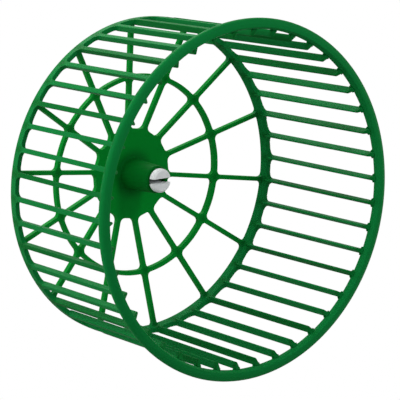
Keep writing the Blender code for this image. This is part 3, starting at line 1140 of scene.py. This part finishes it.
class HAMSTERWHEEL_OT_studio(bpy.types.Operator):
    """Set up the plain floor, the pale surround, the lamps and the camera"""

    bl_idname = "hamsterwheel.studio"
    bl_label = "Studio"

    def execute(self, context):
        studio = context.scene.hamsterwheel_studio
        target = Vector((0.0, -studio.view_depth, 0.0))
        right, up, back = self.view_axes(studio)
        self.lay_floor(studio, context.scene.hamsterwheel_finish)
        self.hang_surround(context, studio, right, back)
        self.place_camera(context, studio, target, right, up, back)
        for name, (across, above, nearer), width in LAMPS:
            place = target + right * across + up * above + back * nearer
            self.hang_lamp(context, name + "_lamp", place, target, width, getattr(studio, name + "_power"))
        context.scene.view_settings.view_transform = "Standard"
        return {"FINISHED"}

    def view_axes(self, studio):
        """The camera's right, up and backward directions."""
        a = studio.view_azimuth
        e = studio.view_elevation
        back = Vector((math.sin(a) * math.cos(e), -math.cos(a) * math.cos(e), math.sin(e)))
        right = Vector((math.cos(a), math.sin(a), 0.0))
        up = back.cross(right)
        c = math.cos(studio.view_roll)
        s = math.sin(studio.view_roll)
        return right * c + up * s, up * c - right * s, back

    def place_camera(self, context, studio, target, right, up, back):
        """The camera, at its distance from the target."""
        lens = bpy.data.cameras.new("camera")
        lens.sensor_width = SENSOR_WIDTH
        lens.lens = studio.focal_length
        lens.shift_x = studio.shift_x
        lens.shift_y = studio.shift_y
        camera = bpy.data.objects.new("camera", lens)
        context.scene.collection.objects.link(camera)
        axes = Matrix((right, up, back)).transposed().to_4x4()
        camera.matrix_world = Matrix.Translation(target + back * studio.view_distance) @ axes
        context.scene.camera = camera

    def hang_lamp(self, context, name, place, target, width, power):
        """A round lamp that faces the wheel."""
        light = bpy.data.lights.new(name, "AREA")
        light.shape = "DISK"
        light.size = width
        light.energy = power
        lamp = bpy.data.objects.new(name, light)
        context.scene.collection.objects.link(lamp)
        lamp.location = place
        lamp.rotation_euler = (place - target).to_track_quat("Z", "Y").to_euler()

    def lay_floor(self, studio, finish):
        """A round floor that the camera sees paler than it lights the wheel."""
        leave_edit()
        bpy.ops.mesh.primitive_circle_add(
            vertices=FLOOR_STEPS,
            radius=studio.floor_radius,
            fill_type="NGON",
            location=(0.0, 0.0, -studio.floor_drop),
        )
        floor = name_it("floor")
        settle(floor)
        constants = {
            "Base Color": solid(finish.floor),
            "Roughness": finish.floor_roughness,
            "Emission Strength": 1.0,
        }
        material, shader, start = new_material("pale_floor", constants)
        seen = start.add("ShaderNodeLightPath", output="Is Camera Ray")
        connect(mixed(seen, seen, BLACK, solid(finish.floor_glow)), shader, "Emission Color")
        floor.data.materials.append(material)

    def hang_surround(self, context, studio, right, back):
        """A surround that is white to the camera, and lights the wheel mostly from its sides."""
        world = bpy.data.worlds.new("pale_surround")
        world.use_nodes = True
        context.scene.world = world
        shader = world.node_tree.nodes["Background"]
        start = Wire(world.node_tree)
        path = start.add("ShaderNodeLightPath", output="Is Camera Ray")
        direction = start.add("ShaderNodeTexCoord", output="Generated")
        light = 0.0
        for towards, strength in (
            (-right, studio.surround_left),
            (right, studio.surround_right),
            (back, studio.surround_front),
            (-back, studio.surround_behind),
        ):
            settings = {"operation": "DOT_PRODUCT"}
            facing = start.add("ShaderNodeVectorMath", settings, {0: direction, 1: towards}, "Value")
            light = smooth_step(facing, 0.0, FULL_STRENGTH_SHARE, 0.0, strength) + light
        seen = largest(path, path.also("Is Glossy Ray"), path.also("Is Transmission Ray"), light)
        connect(seen, shader, "Strength")
        shader.inputs["Color"].default_value = WHITE


class HAMSTERWHEEL_PT_sidebar(bpy.types.Panel):
    """Lists the pieces and their sizes"""

    bl_idname = "HAMSTERWHEEL_PT_sidebar"
    bl_label = "Hamster wheel"
    bl_space_type = "VIEW_3D"
    bl_region_type = "UI"
    bl_category = "Hamster wheel"

    def draw(self, context):
        for operator in OPERATORS:
            self.layout.operator(operator.bl_idname)
        for name in GROUPS:
            group = getattr(context.scene, name)
            box = self.layout.box()
            for key in group.__annotations__:
                box.prop(group, key)


GROUPS = {
    "hamsterwheel_drum": HAMSTERWHEEL_PG_drum,
    "hamsterwheel_web": HAMSTERWHEEL_PG_web,
    "hamsterwheel_fixing": HAMSTERWHEEL_PG_fixing,
    "hamsterwheel_finish": HAMSTERWHEEL_PG_finish,
    "hamsterwheel_studio": HAMSTERWHEEL_PG_studio,
}
OPERATORS = (
    HAMSTERWHEEL_OT_wheel,
    HAMSTERWHEEL_OT_pin,
    HAMSTERWHEEL_OT_plates,
    HAMSTERWHEEL_OT_nut,
    HAMSTERWHEEL_OT_studio,
)


def register():
    for cls in (*GROUPS.values(), *OPERATORS, HAMSTERWHEEL_PT_sidebar):
        bpy.utils.register_class(cls)
    for name, group in GROUPS.items():
        setattr(bpy.types.Scene, name, bpy.props.PointerProperty(type=group))


def unregister():
    for name in GROUPS:
        delattr(bpy.types.Scene, name)
    for cls in (HAMSTERWHEEL_PT_sidebar, *OPERATORS[::-1], *list(GROUPS.values())[::-1]):
        bpy.utils.unregister_class(cls)


def main():
    register()
    bpy.ops.hamsterwheel.wheel()
    bpy.ops.hamsterwheel.pin()
    bpy.ops.hamsterwheel.plates()
    bpy.ops.hamsterwheel.nut()
    bpy.ops.hamsterwheel.studio()


if __name__ == "__main__":
    main()
